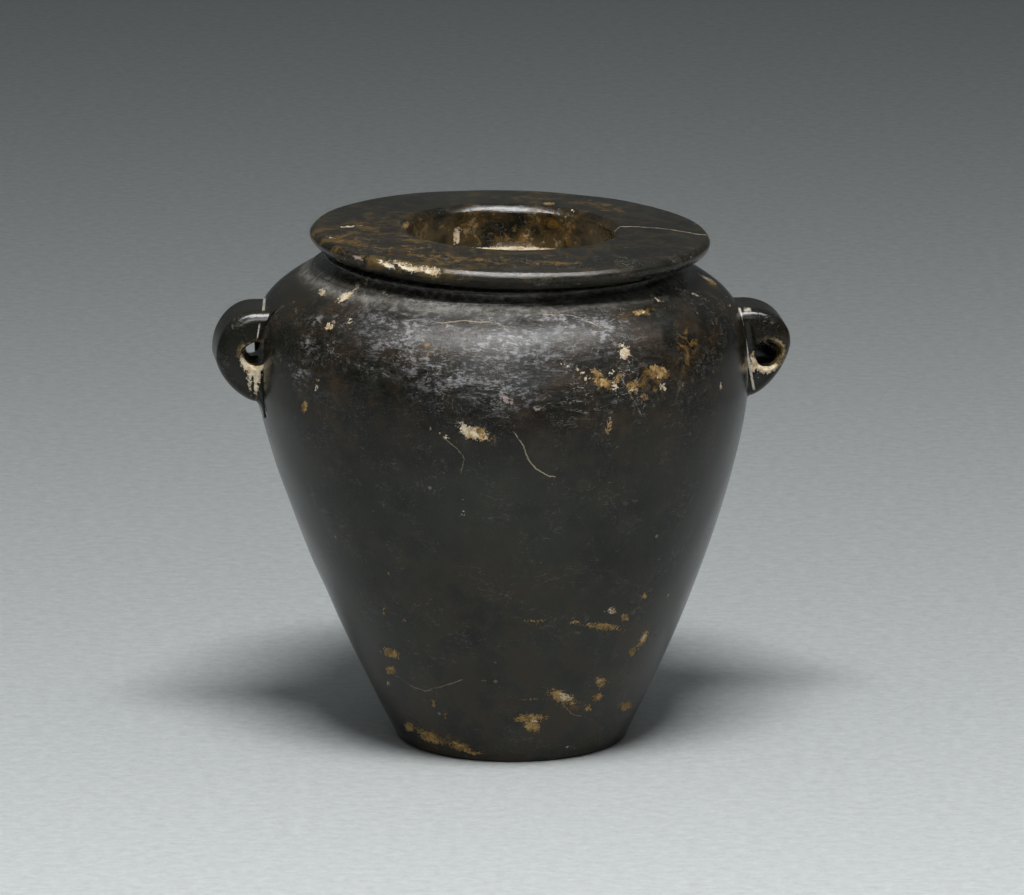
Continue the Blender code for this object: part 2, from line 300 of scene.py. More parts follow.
def root_groove(name, side, height, above, below, deep):
    """A thin rod, pointed at both ends, along the line where the lug's front face meets the wall.

    It follows the half section at its own distance in front of the axis, and its thickness
    swells as the square root of a half sine.
    """
    wall = section[:, :2]
    wall = wall[np.argmax(wall[:, 1] > 40) : np.argmax(wall[:, 1] >= NECK_Z)]
    z = np.linspace(height - below + 1.2, height + above + 0.5, 40)
    front = -LUG_LENGTH / 2 - 0.85
    reach = np.sqrt(np.interp(z, wall[:, 1], wall[:, 0]) ** 2 - front**2)
    thick = 1.25 * np.sin(np.linspace(0.04, np.pi - 0.04, 40)) ** 0.5
    turn = np.linspace(0, 2 * np.pi, 20, endpoint=False)[None, :]
    rings = np.empty((40, 20, 3))
    rings[..., 0] = side * ((reach + 1.25 - deep)[:, None] + thick[:, None] * np.cos(turn))
    rings[..., 1] = front + thick[:, None] * np.sin(turn)
    rings[..., 2] = z[:, None]
    poles = rings[[0, -1]].mean(axis=1)
    rings = rings[:, ::-1] if side > 0 else rings
    rings = rings[:, ::-1]
    place = lug_place(rings, height), lug_place(poles[:1], height), lug_place(poles[1:], height)
    return closed_tube(name, *place)


def lug_hole(name, side, height, places_out, mouth, waist):
    """An hourglass drilled from both ends, with a countersink at each and a bend at the waist."""
    half = LUG_LENGTH / 2
    along = np.linspace(-1.06, 1.06, 33)
    turn = np.linspace(0, 2 * np.pi, 56, endpoint=False)[None, :]
    radius = waist + (mouth - waist) * np.abs(along) ** 1.3
    radius = radius + 0.5 * np.exp(np.minimum(np.abs(along) - 1.0, 0.0) * half / 0.5)
    out = np.interp(along, [-1, 0, 1], places_out)
    out[along < -1] = places_out[0] + (along[along < -1] + 1) * (places_out[1] - places_out[0])
    out[along > 1] = places_out[2] + (along[along > 1] - 1) * (places_out[2] - places_out[1])
    radius = radius[:, None] * (1 + 0.03 * np.sin(3 * turn + 1) + 0.02 * np.sin(5 * turn))
    rings = np.empty((len(along), 56, 3))
    rings[..., 0] = side * (BELLY_RADIUS + out[:, None] + radius * np.cos(turn))
    rings[..., 1] = along[:, None] * half
    rings[..., 2] = height + radius * np.sin(turn)
    poles = rings[[0, -1]].mean(axis=1)
    rings = rings[:, ::-1] if side > 0 else rings
    place = lug_place(rings, height), lug_place(poles[:1], height), lug_place(poles[1:], height)
    return closed_tube(name, *place)


def carve(block, other, operation):
    """Joins the other shape to the block, or cuts it out, and throws the other shape away."""
    step = block.modifiers.new(other.name, "BOOLEAN")
    step.operation = operation
    step.solver = "EXACT"
    step.object = other
    shaped = bpy.data.meshes.new_from_object(
        block.evaluated_get(bpy.context.evaluated_depsgraph_get())
    )
    block.modifiers.clear()
    old = block.data
    block.data = shaped
    bpy.data.meshes.remove(old)
    bpy.data.objects.remove(other)


jar = jar_body()
for name, its in LUGS.items():
    shape = its["side"], its["height"], its["standoff"], its["above"], its["below"]
    carve(jar, lug(name + "_lug", *shape), "UNION")
for name, its in LUGS.items():
    shape = its["side"], its["height"], its["above"], its["below"], its["groove"]
    carve(jar, root_groove(name + "_groove", *shape), "DIFFERENCE")
for name, its in LUGS.items():
    shape = its["side"], its["height"] + its["rise"], its["hole_out"], its["mouth"], its["waist"]
    carve(jar, lug_hole(name + "_hole", *shape), "DIFFERENCE")

# Marks left on the stone, read off the photo: how far across and down the middle lies, the
# half length, the half width and the slant. All are in photo pixels but the slant, which is in
# degrees, more of it being lower to the right.
CREAM = [
    (386, 263, 10, 3.5, 20), (410, 267, 13, 3.6, 10), (431, 269, 9.5, 4.5, 6),
    (398, 261, 12, 1.8, 8), (571.6, 209.7, 1.3, 1, 0), (349, 226, 10, 0.7, -6),
    (332, 237, 4, 0.7, 10), (457, 236, 3.6, 9.5, 10), (322, 292, 4, 3.4, 40),
    (345, 296, 9.5, 3.4, -28), (357, 286, 3.2, 4.8, 20), (384, 292, 3.2, 2.2, 50),
    (328, 325, 5, 3.4, -30), (349, 320, 3.2, 3.6, 20), (349, 327, 2, 1.2, 0),
    (366, 281, 4, 1.4, 60), (316, 388, 1.6, 3.4, 10), (314, 352, 1.2, 1, 0),
    (470, 433, 11.5, 6.2, 30), (463, 425, 6, 2.6, 25), (486, 436, 4, 3, 0),
    (444, 436.5, 5.5, 2.2, 35), (430, 427, 3.4, 1.3, 50), (456, 443, 3, 1.1, 30),
    (452, 396, 3, 1, 0), (566, 363.5, 7.5, 1.9, 20), (581, 369.5, 9, 2.1, 28),
    (588, 380, 3.4, 1.7, 30), (627, 351, 6, 6.5, 20), (622, 344, 4, 2.2, -20),
    (633, 358, 2.6, 2, 0), (629, 366, 1.6, 1.6, 0), (633, 389, 3, 3, 0), (664, 388, 4.2, 4, 0),
    (659, 378, 1.6, 1.4, 0), (615, 386, 2.4, 9.5, -12), (614, 372, 3, 2.6, 10),
    (609, 420, 1.5, 5.5, 6), (669, 371, 1.4, 2.2, 0), (722, 386.5, 1.3, 4, 0),
    (694, 371, 0.9, 1.3, 0), (645, 311, 3.4, 1.2, -10), (660, 300, 6, 1.1, 14),
    (679, 287.5, 6.5, 1, 12), (696, 294, 5.5, 1, 18), (706, 277, 8.5, 1.4, 28),
    (730, 305, 1.6, 1.6, 0), (655, 296, 5, 0.8, 12), (463, 513, 3, 2, -15), (463, 500, 1.2, 1, 0),
    (545, 614, 1.3, 1.1, 0), (611, 611.5, 5.5, 3, 5), (645, 637, 1.2, 7, 28),
    (386, 651, 4, 1.6, 20), (388, 684, 1.5, 2.6, 0), (528, 716, 7, 1.3, -5),
    (536, 722, 4, 1.4, 10), (566, 698, 8, 3.4, 24), (600, 681, 2.4, 2.8, 0),
    (569, 748, 3.8, 1.6, -5), (496, 663, 1.6, 1.2, 0), (629, 670, 1.1, 1.1, 0),
    (624, 446, 1.2, 1, 0), (632, 538, 1, 1, 0), (364, 467, 1.2, 1.2, 0), (269, 433, 1.2, 4, 10),
]
OCHRE = [
    (406, 225, 3, 4.5, 60), (549, 203, 6, 1.8, 5), (317, 379.5, 2.4, 2.6, 0),
    (304.5, 407, 3.2, 6.5, 10), (478, 434, 13, 6.5, 18), (634, 387, 6.5, 6.5, 20),
    (661, 372, 10, 7.5, 30), (609, 426, 2.6, 10.5, 6), (620, 378, 3.4, 5, 20),
    (606, 383, 14, 5, 20), (598, 372, 8, 3.5, 25), (645, 398, 4, 3.5, 0),
    (640, 312.5, 7.5, 2.8, -10), (712, 281, 6, 1.8, 35), (444.6, 473, 1.6, 1.6, 0),
    (610, 482, 2, 1.4, 0), (532, 562, 7, 1.7, 6), (614, 611, 4, 3.4, 0),
    (625, 617.5, 4.4, 4.2, 20), (575, 623, 5, 2.2, 0), (603, 627, 19, 3.4, 6),
    (537, 622, 9.5, 2, 0), (644.5, 639, 3.2, 10, 28), (633, 652, 3.6, 4.6, 20),
    (390, 653, 10, 4.4, 20), (390, 671, 4.8, 4.4, 0), (433, 704, 2.2, 3.8, -20),
    (445, 715, 2, 4.4, -20), (428, 737, 14, 5, 28), (459, 747, 12, 4, 12),
    (473, 753, 9.5, 2.4, 8), (409, 727, 6, 4, 40), (530, 719, 17, 4.8, -2), (532, 726, 10, 6, 15),
    (562, 697, 15.5, 6.2, 22), (527, 699, 13, 1.6, 2), (601, 682, 5.5, 5.6, 10),
    (598, 698, 6, 4, -25), (588.5, 708.5, 4.2, 3.4, 0), (627, 707, 7.5, 4.4, -10),
    (482, 680, 3, 1.1, 0), (404, 620, 2.2, 1.6, 0), (388, 574, 1.3, 1.6, 0),
    (384, 611, 1.1, 4, 8), (645, 595.5, 4.2, 3, -20), (660, 560, 1.6, 1.2, 0),
    (745, 366.5, 2.7, 2.8, 0),
]
PINK = [
    (357, 258, 6, 2.4, 20), (333, 322, 4, 2.5, 0), (506, 399, 6.5, 3.6, 40), (511, 404, 2, 5, 0),
    (537, 409, 5, 2.2, 10), (560, 362, 3, 1.2, 0),
]
# Shoulder patches, partly pale wear and partly painted sheen standing in for the light's broad highlight
# there.
WEAR_AND_PAINTED_SHEEN = [
    (306, 343, 6, 8, 20), (299, 374, 7, 11, -15), (315, 322, 5, 9, 25), (322, 400, 6, 5, 0),
    (510, 345, 46, 20, 4), (500, 385, 30, 18, 30), (480, 300, 60, 5, 2), (560, 318, 46, 14, 12),
    (430, 300, 40, 8, 14), (400, 330, 30, 20, 0), (372, 279, 20, 6, 20), (606, 330, 26, 14, 10),
    (440, 370, 40, 16, 20),
]
RUST = [
    (425, 254, 52, 9, 9), (490, 260, 44, 5, 3), (360, 224, 34, 4.5, 6), (345, 240, 26, 8, 6),
    (470, 220, 24, 14, -10), (556, 224, 40, 14, 5), (520, 236, 50, 10, 0), (600, 205, 34, 5, 12),
    (560, 262, 40, 4, -2), (650, 380, 34, 20, 20), (600, 384, 20, 9, 20), (640, 312, 26, 5, -10),
    (600, 627, 30, 6, 6), (440, 741, 40, 9, 20), (562, 699, 26, 9, 20), (712, 283, 14, 5, 30),
    (480, 436, 18, 9, 15), (690, 350, 14, 30, 10), (425, 345, 24, 10, 10),
]
BROWN = [
    (520, 228, 70, 18, 0), (425, 245, 52, 16, 10), (360, 235, 32, 14, 0), (655, 330, 62, 34, 10),
    (640, 385, 48, 34, 0), (560, 385, 46, 26, 10), (700, 350, 26, 55, 10), (420, 345, 36, 20, 10),
    (345, 395, 36, 26, 0), (320, 300, 24, 26, 20), (590, 222, 50, 12, 10), (560, 620, 75, 22, 6),
    (430, 735, 48, 22, 20), (560, 710, 70, 28, 6), (470, 350, 22, 14, 0),
]
WORN = [
    (490, 345, 165, 66, 2), (480, 310, 150, 26, 0), (620, 330, 90, 60, 10), (500, 392, 95, 20, 0),
    (370, 320, 60, 50, 0), (640, 380, 60, 40, 0),
]

# Hairlines, read off the photo in the same way: how strong each is, and its corners.
LINES = [
    (3, [(618, 228), (640, 227), (668, 229), (702, 234), (710, 237.5)]),
    (1.5, [(438, 323), (465, 320), (490, 321), (508, 327), (528, 338)]),
    (1.3, [(548, 314), (575, 316), (599, 326)]),
    (1.3, [(517, 437), (525, 449), (530, 462), (537, 469), (544, 473), (550, 476)]),
    (0.45, [(395, 676), (411, 686), (425, 691), (442, 686), (458, 681)]),
    (0.5, [(446, 440), (456, 447), (464, 458), (462, 470)]),
    (0.5, [(622, 376), (632, 396), (640, 412)]),
    (0.4, [(470, 300), (500, 304), (536, 303)]),
    (0.4, [(385, 300), (410, 309), (440, 312)]),
    (0.4, [(404, 222), (409, 231)]),
    (0.25, [(560, 700), (572, 712), (580, 716)]),
]

# The camera stands this far from a point in the jar's middle, in millimetres, and looks down on it.
PHOTO_WIDTH, PHOTO_HEIGHT = 1024, 895
LENS_PIXELS = 9000
EYE_DISTANCE = 1620.0
EYE_RISE = math.radians(13.43)
EYE_AIM_X, EYE_AIM_Z = 0.1, 53.05


def photo_map():
    """For each photo pixel, the turn, reach and radius of the foremost point of the jar there.

    A point's place is its way right and up from the aim over its depth, times the lens. Points
    are set down from the farthest to the nearest, so the nearest stays. One faces the camera
    where a step of turn and a step of reach run clockwise on the photo.
    """
    fine_reach = np.arange(0, section_reach[-1], 0.13)
    radius, z, share = (np.interp(fine_reach, section_reach, c)[:, None] for c in section.T)
    turn = np.radians(np.arange(-180, 180, 0.18))[None, :]
    x, y, z = np.moveaxis(round_the_jar(radius, z, share, turn), -1, 0)
    x, z = x - EYE_AIM_X, z - EYE_AIM_Z
    depth = EYE_DISTANCE + y * math.cos(EYE_RISE) - z * math.sin(EYE_RISE)
    rise = y * math.sin(EYE_RISE) + z * math.cos(EYE_RISE)
    across = PHOTO_WIDTH / 2 + LENS_PIXELS * x / depth
    down = PHOTO_HEIGHT / 2 - LENS_PIXELS * rise / depth
    across_by_reach, across_by_turn = np.gradient(across)
    down_by_reach, down_by_turn = np.gradient(down)
    faces = across_by_turn * down_by_reach < across_by_reach * down_by_turn
    order = np.argsort(-depth[faces])
    column = np.rint(across[faces][order]).astype(int)
    row = np.rint(down[faces][order]).astype(int)
    drawn = np.full((PHOTO_HEIGHT, PHOTO_WIDTH, 3), np.nan)
    for layer, values in enumerate((np.degrees(turn), fine_reach[:, None], radius)):
        values = np.broadcast_to(values, depth.shape)[faces]
        drawn[row, column, layer] = values[order]
    return drawn


seen = photo_map()
PROBE = 5


def on_jar(across, down):
    """Turn and reach of a place on the photo, and the millimetres there to a pixel each way.

    The millimetres are the mean of a probe to each side, and a probe that misses the jar is
    left out.
    """
    turn, reach_there, radius = seen[round(down), round(across)]
    ways = np.empty((2, 2, 2))
    for side, step in enumerate((-PROBE, PROBE)):
        for way, (right, low) in enumerate(((step, 0), (0, step))):
            there = seen[round(down) + low, round(across) + right]
            turned = math.radians((there[0] - turn + 180) % 360 - 180) * radius
            ways[side, :, way] = turned / step, (there[1] - reach_there) / step
    return turn, reach_there, np.nanmean(ways, axis=0)


vertices = len(jar.data.vertices)
place = np.empty(vertices * 3)
jar.data.vertices.foreach_get("co", place)
place = place.reshape(-1, 3) * 1000
normal = np.empty(vertices * 3)
jar.data.vertices.foreach_get("normal", normal)
normal = normal.reshape(-1, 3)
around, reach = np.empty(vertices), np.empty(vertices)
jar.data.attributes["around"].data.foreach_get("value", around)
jar.data.attributes["reach"].data.foreach_get("value", reach)

# The lugs and what was cut beside them take the turn and reach of the wall at their own height.
wall_end = np.argmax(section[:, 1] >= NECK_Z)
at_lug = (np.abs(place[:, 0]) > 39) & (place[:, 2] > 56) & (place[:, 2] < 86) | (reach < 0.5)
lug_turn = np.degrees(np.arctan2(place[:, 1], place[:, 0] - body_axis_x(place[:, 2])))
lug_turn = np.where(lug_turn > 90, lug_turn - 360, lug_turn)
lug_reach = np.interp(place[:, 2], section[8:wall_end, 1], section_reach[8:wall_end])
around = np.where(at_lug, lug_turn, around)
reach = np.where(at_lug, lug_reach, reach)
wall_radius = np.interp(reach, section_reach, section[:, 0])


def spread(marks, soft):
    """How deep each point lies inside the marks, one in the middle and minus soft far outside.

    Each mark is an oval on the photo, laid on the jar by the millimetres to a pixel each way. The
    depth is one less the point's distance from its middle, as a share of the oval's own half
    size that way, times a share from a half up for narrow marks.
    """
    depth = np.full(vertices, -soft)
    for across, down, half_long, half_wide, slant in marks:
        turn, mark_reach, ways = on_jar(across, down)
        c, s = math.cos(math.radians(slant)), math.sin(math.radians(slant))
        oval = ways @ np.array([[c * half_long, -s * half_wide], [s * half_long, c * half_wide]])
        longest, narrowest = np.linalg.svd(oval, compute_uv=False)
        firm = min(1.0, max(0.5, narrowest / 0.8))
        fades = longest * (1 + soft / firm)
        point = np.stack([
            np.radians((around - turn + 180) % 360 - 180) * wall_radius, reach - mark_reach
        ])
        near = (np.abs(point) < fades).all(axis=0)
        inside = firm * (1 - np.linalg.norm(np.linalg.solve(oval, point[:, near]), axis=0))
        depth[near] = np.maximum(depth[near], inside)
    return depth


def hairline(lines):
    """Signed distance to the nearest line's stretch, in millimetres, and that line's strength.

    The distance is the cross product of a stretch's direction with the way to the point, and it
    is positive on one side and negative on the other, so that its zero draws a sharp line.
    """
    signed, strength = np.full(vertices, 3.0), np.zeros(vertices)
    nearest = np.full(vertices, 3.0)
    for weight, places in lines:
        corners = [on_jar(*place)[:2] for place in places]
        for (turn_a, reach_a), (turn_b, reach_b) in zip(corners, corners[1:]):
            scale = np.radians(1) * wall_radius
            turned = ((turn_b - turn_a + 180) % 360 - 180) * scale
            way = np.stack([turned, 0 * scale + reach_b - reach_a])
            point = np.stack([((around - turn_a + 180) % 360 - 180) * scale, reach - reach_a])
            length = np.linalg.norm(way, axis=0) + 1e-6
            share = np.clip((way * point).sum(axis=0) / length**2, 0, 1)
            away = np.linalg.norm(point - way * share, axis=0)
            cross = (way[0] * point[1] - way[1] * point[0]) / length
            closer = away < nearest
            nearest = np.where(closer, away, nearest)
            signed = np.where(closer, cross, signed)
            strength = np.where(closer & (away < 0.9), weight, strength)
    return signed, strength


# On the lugs, a frame of their own gives each point's way out from the wall, along and up.
cream, ochre = spread(CREAM, 1.5), spread(OCHRE, 1.5)
dust = np.zeros(vertices)
for its in LUGS.values():
    side, height, above, below = its["side"], its["height"], its["above"], its["below"]
    rise, hole_out, mouth = its["rise"], its["hole_out"][0], its["crust"]
    x = place[:, 0] - body_axis_x(height)
    out = side * (x * math.cos(LUG_TURN) + place[:, 1] * math.sin(LUG_TURN)) - BELLY_RADIUS
    along = place[:, 1] * math.cos(LUG_TURN) - x * math.sin(LUG_TURN)
    up = place[:, 2] - height
    here = (side * place[:, 0] > 35) & (up > -below - 3) & (up < above + 3)
    front = here & (along < -LUG_LENGTH / 2 + 1.2) & (along > -LUG_LENGTH / 2 - 2.6)
    from_hole = np.hypot(out - hole_out, up - rise)
    lower = np.clip((rise - up) / np.maximum(from_hole, 0.5) + 0.55 * (hole_out - out) * side / 4, 0, 1)
    ring = 0.9 * lower - 1.1 * np.abs(from_hole - mouth + 0.1)
    fall = np.clip((rise - 1.8 - up) / (below + rise - 1.8), 0, 1)
    wedge = np.where(up < rise - 1.8, 1.35 - 1.1 * fall - 0.8 * np.abs(out - 0.6 - 0.3 * fall), -1.5)
    wedge = wedge - 1.2 * np.exp(-(((out - 0.9) / 0.25) ** 2)) * (fall > 0.25)
    groove = 0.5 - np.abs(along + LUG_LENGTH / 2 + 0.9) - 0.9 * np.sin(up * 0.55 + 0.8 * side) ** 2
    for level in (ring, groove, np.where(side < 0, wedge, wedge - 0.7)):
        cream = np.where(front, np.maximum(cream, np.clip(level, -1.5, 1.5)), cream)
    bore = here & (np.abs(along) < LUG_LENGTH / 2 + 0.5) & (from_hole < mouth + 0.4) & (out > -2.5)
    dust = np.where(bore, 1.0, dust)
dust = np.maximum(dust, 0.75 * smooth_step(141.5, 143.5, reach))
ledge = (reach > 149.0) & (reach < 155.5)
cream = np.where(ledge, 0.75 * np.clip(np.cos(np.radians(around - 90)) + 0.3, 0, 1) - 0.3, cream)
crack, crack_strength = hairline(LINES)
corner = section_reach[wall_end]
# Painted highlight: a pale band in the corner under the neck, and a fainter one up the neck to the rim.
neck_painted_highlight = 0.75 * np.exp(-(((reach - corner + 1.5) / 1.3) ** 2))
neck_painted_highlight = np.where(reach > corner, 0.38, neck_painted_highlight) * (reach < corner + 3.4)
rim_stain = 0.25 + 0.75 * np.clip(np.cos(np.radians(around + 142)), 0, 1) ** 2
rim_stain = np.maximum(rim_stain, 0.8 * np.clip(np.cos(np.radians(around - 80)), 0, 1) ** 4)
front_share = np.clip(np.cos(np.radians(around + 90)), 0, 1)
fields = {
    "cream": cream,
    "ochre": ochre,
    "pink": spread(PINK, 1.5),
    # Partly wear and partly painted sheen on the upper shoulder.
    "wear_and_painted_sheen": np.clip(spread(WEAR_AND_PAINTED_SHEEN, 2.0) / 1.6 + 0.5, 0, 1) * smooth_step(90, 96, reach),
    "rust": np.clip(spread(RUST, 2.0) + 0.35, 0, 1),
    "brown": np.clip(spread(BROWN, 4.0) / 6.0 + 0.5, 0, 1),
    "worn": np.clip(spread(WORN, 2.0) / 3.0 + 0.6, 0, 1) * smooth_step(88, 97, reach) * front_share,
    # Painted light: the front of the wall, below the shoulder, is made paler where it catches the front
    # light.
    "front_painted_light": front_share**2 * (1 - smooth_step(78, 90, reach)),
    "dust": dust,
    # Painted highlight on the neck and the corner below it.
    "neck_painted_highlight": neck_painted_highlight * ~at_lug,
    "top": smooth_step(122, 124, reach) * (1 - smooth_step(141, 143, reach)) * rim_stain,
    "crack": crack,
    "crack_strength": crack_strength,
}
for label, values in fields.items():
    field = jar.data.attributes.new(label, "FLOAT", "POINT")
    field.data.foreach_set("value", values.astype("f"))

# Grinding by hand left the wall slightly uneven, and the front of the shoulder a little flat.
facing = np.radians(around + 90)
flat = 0.9 * np.exp(-(((reach - 100.5) / 5.0) ** 2)) * np.clip(np.cos(facing), 0, 1) ** 2
waves = 0
for size, push, x, y, z in (
    (0.030, 0.3, 0.21, 0.09, 0.16),
    (0.026, 2.1, -0.15, 0.30, 0.22),
    (0.022, 4.0, 0.33, -0.20, -0.30),
    (0.018, 1.2, 0.10, 0.45, -0.36),
    (0.014, 5.1, -0.52, 0.12, 0.50),
):
    waves = waves + size * np.sin(place @ np.array([x, y, z]) + push)
chips = 0.0
for level, deep in ((cream, 0.16), (ochre, 0.07)):
    chips = chips + deep * smooth_step(-0.25, 0.7, level)
rim_chip = spread(CREAM[:4], 1.5)
chips = chips + 0.45 * smooth_step(-0.5, 0.8, rim_chip)
near_lug = smooth_step(37.5, 41.5, np.abs(place[:, 0] - body_axis_x(place[:, 2])))
near_lug = near_lug * smooth_step(54, 60, place[:, 2]) * (1 - smooth_step(82, 88, place[:, 2]))
free = smooth_step(0.3, 3.0, place[:, 2]) * (reach < 156) * (1 - 0.65 * near_lug)
place = place + normal * ((waves - flat * (1 - near_lug) - chips) * free)[:, None]
jar.data.vertices.foreach_set("co", (place * 0.001).ravel())
jar.data.update()

jar.data.name = "stone_jar"
jar.data.shade_smooth()
jar.data.set_sharp_from_angle(angle=math.radians(40))

stone = bpy.data.materials.new("polished_serpentine")
stone.use_nodes = True
bench = stone.node_tree
shader = bench.nodes["Principled BSDF"]


def node(kind, inputs, output=0, **settings):
    """Adds a node, sets its settings, joins or sets its inputs, and gives back one output."""
    made = bench.nodes.new("ShaderNode" + kind)
    for name, value in settings.items():
        setattr(made, name, value)
    for key, value in inputs.items():
        if isinstance(value, bpy.types.NodeSocket):
            bench.links.new(value, made.inputs[key])
        else:
            made.inputs[key].default_value = value
    return made.outputs[output]


def sums(operation, *values, clamp=False):
    """One step of arithmetic on numbers or sockets."""
    return node("Math", dict(enumerate(values)), operation=operation, use_clamp=clamp)


def ramp(value, low, high):
    """Nought where the value is at low, one where it is at high, and an S-shaped rise between."""
    return node(
        "MapRange",
        {"Value": value, "From Min": low, "From Max": high},
        interpolation_type="SMOOTHSTEP",
    )


def noise(vector, scale, detail=3.0, rough=0.55, twist=0.0):
    """Cloudy noise from nought to one at so many cells to a metre."""
    return node(
        "TexNoise",
        {"Vector": vector, "Scale": scale, "Detail": detail, "Roughness": rough, "Distortion": twist},
    )


def blend(share, below, above):
    """Lays one colour over another by the share."""
    return node(
        "Mix", {"Factor": share, 6: below, 7: above}, output=2, data_type="RGBA"
    )


def kept(label):
    """A number kept at each point of the mesh."""
    return node("Attribute", {}, output=2, attribute_name=label)


where = node("TexCoord", {}, output=3)
place_x, place_y, place_z = (node("SeparateXYZ", {"Vector": where}, output=axis) for axis in range(3))
layered = node("Mapping", {"Vector": where, "Scale": (1.0, 1.0, 3.2)})
clouds = noise(where, 38.0, 4.0)
mottle = noise(where, 170.0, 5.0, 0.62)
grit = noise(where, 900.0, 4.0, 0.7)
crumb = noise(where, 1500.0, 3.0, 0.7)
grain = noise(where, 3600.0, 2.0, 0.6)
streak = noise(layered, 210.0, 5.0, 0.72, 0.5)
fine_streak = noise(layered, 900.0, 3.0, 0.7, 0.4)

# Polished stone: near black with a green cast, clouded and stained brown.
dark = blend(ramp(clouds, 0.35, 0.65), (0.0058, 0.0063, 0.0044, 1), (0.0125, 0.0130, 0.0092, 1))
# Painted light: the front of the wall is painted paler, standing in for the brighter light it catches from
# the front.
front_painted_light = sums("MULTIPLY", kept("front_painted_light"), ramp(sums("ADD", clouds, mottle), 0.40, 1.30))
dark = blend(front_painted_light, dark, (0.0360, 0.0370, 0.0280, 1))
dark = blend(ramp(mottle, 0.56, 0.74), dark, (0.030, 0.028, 0.021, 1))
dark = blend(ramp(grain, 0.54, 0.80), dark, (0.050, 0.048, 0.041, 1))
dark = blend(sums("MULTIPLY", kept("dust"), ramp(mottle, 0.40, 0.60)), dark, (0.120, 0.086, 0.036, 1))
brown = sums("MULTIPLY", kept("brown"), ramp(mottle, 0.38, 0.64))
dark = blend(sums("MULTIPLY", brown, 0.80), dark, (0.050, 0.028, 0.011, 1))
top_stain = sums("MULTIPLY", kept("top"), ramp(noise(where, 150.0, 7.0, 0.78, 1.6), 0.50, 0.60))
dark = blend(sums("MULTIPLY", top_stain, 0.9), dark, (0.125, 0.078, 0.018, 1))
rust_noise = noise(where, 480.0, 5.0, 0.75, 0.8)
rust = ramp(sums("ADD", rust_noise, sums("MULTIPLY", kept("rust"), 0.16)), 0.62, 0.78)
rust_reach = sums("ADD", kept("rust"), sums("MULTIPLY", kept("brown"), 0.35))
rust = sums("MULTIPLY", rust, ramp(rust_reach, 0.0, 0.7))
dark = blend(sums("MULTIPLY", rust, 0.85), dark, (0.200, 0.110, 0.026, 1))

# Wear and painted sheen on the shoulder: a pale veil of fine streaks and scuffs, partly real wear and
# partly a painted highlight standing in for the light's broad sheen there.
scuff_and_sheen_streaks = sums("ADD", sums("MULTIPLY", streak, 0.55), sums("MULTIPLY", grit, 0.40))
scuff_and_sheen_streaks = sums("ADD", scuff_and_sheen_streaks, sums("MULTIPLY", fine_streak, 0.50))
wear_and_painted_sheen = sums("ADD", kept("wear_and_painted_sheen"), sums("MULTIPLY", kept("worn"), 0.14))
wear_and_painted_sheen = sums("MULTIPLY", wear_and_painted_sheen, ramp(scuff_and_sheen_streaks, 0.70, 0.86))
dark = blend(sums("MULTIPLY", wear_and_painted_sheen, 0.85, clamp=True), dark, (0.34, 0.335, 0.345, 1))

# Painted highlight: the neck and the corner below it are painted paler, standing in for the lit rings under
# the rim and the bright sheen at the top of the shoulder.
pale = sums("MULTIPLY", kept("neck_painted_highlight"), sums("ADD", 0.35, ramp(sums("ADD", streak, grit), 0.80, 1.25)))
dark = blend(pale, dark, (0.235, 0.225, 0.200, 1))

# Scratches lie where a twisted noise crosses its middle value, and only in some patches.
scratch = sums("ABSOLUTE", sums("SUBTRACT", noise(layered, 75.0, 3.0, 0.6, 1.6), 0.5))
scratch = ramp(scratch, 0.0080, 0.0020)
scratch_two = sums("ABSOLUTE", sums("SUBTRACT", noise(where, 120.0, 3.0, 0.6, 2.6), 0.5))
scratch_two = ramp(scratch_two, 0.0070, 0.0015)
scratch = sums("MAXIMUM", scratch, scratch_two)
scratch_three = sums("ABSOLUTE", sums("SUBTRACT", noise(where, 260.0, 2.0, 0.6, 3.4), 0.5))
scratch = sums("MAXIMUM", scratch, sums("MULTIPLY", ramp(scratch_three, 0.0100, 0.0020), 0.6))
scratch = sums("MULTIPLY", scratch, ramp(noise(where, 140.0, 3.0), 0.44, 0.60))
scratch = sums("MULTIPLY", scratch, ramp(grit, 0.40, 0.60))
scratch = sums("MULTIPLY", scratch, sums("ADD", 0.22, kept("worn"), clamp=True))
dark = blend(sums("MULTIPLY", scratch, 0.9), dark, (0.36, 0.34, 0.30, 1))

fleck_cell = node("TexVoronoi", {"Vector": where, "Scale": 420.0}, output=0)
fleck_pick = node("TexVoronoi", {"Vector": where, "Scale": 420.0}, output=1)
fleck = sums("MULTIPLY", ramp(fleck_cell, 0.20, 0.09), ramp(fleck_pick, 0.86, 0.90))
dark = blend(sums("MULTIPLY", fleck, 0.8), dark, (0.22, 0.18, 0.13, 1))

# Deposits: ragged, crumbling patches of ochre and cream earth in shallow losses.
ragged = sums("ADD", sums("MULTIPLY", crumb, 2.0), sums("MULTIPLY", grain, 1.3))
ragged = sums("SUBTRACT", ragged, 1.68)
ochre_share = ramp(sums("ADD", kept("ochre"), ragged), -0.02, 0.22)
cream_share = ramp(sums("ADD", kept("cream"), ragged), 0.0, 0.20)
pink_share = ramp(sums("ADD", kept("pink"), ragged), -0.02, 0.25)
dust_clumps = sums("ADD", mottle, sums("MULTIPLY", grit, 0.6))
dust_share = sums("MULTIPLY", kept("dust"), ramp(dust_clumps, 0.86, 1.02))
crack_wobble = sums("MULTIPLY", sums("SUBTRACT", crumb, 0.5), 0.55)
crack_wobble = sums("ADD", crack_wobble, sums("MULTIPLY", sums("SUBTRACT", mottle, 0.5), 1.6))
crack_near = sums("ABSOLUTE", sums("ADD", kept("crack"), crack_wobble))
broken = sums("ADD", 0.25, ramp(sums("ADD", grit, mottle), 0.86, 1.08))
broken = sums("MULTIPLY", kept("crack_strength"), broken, clamp=True)
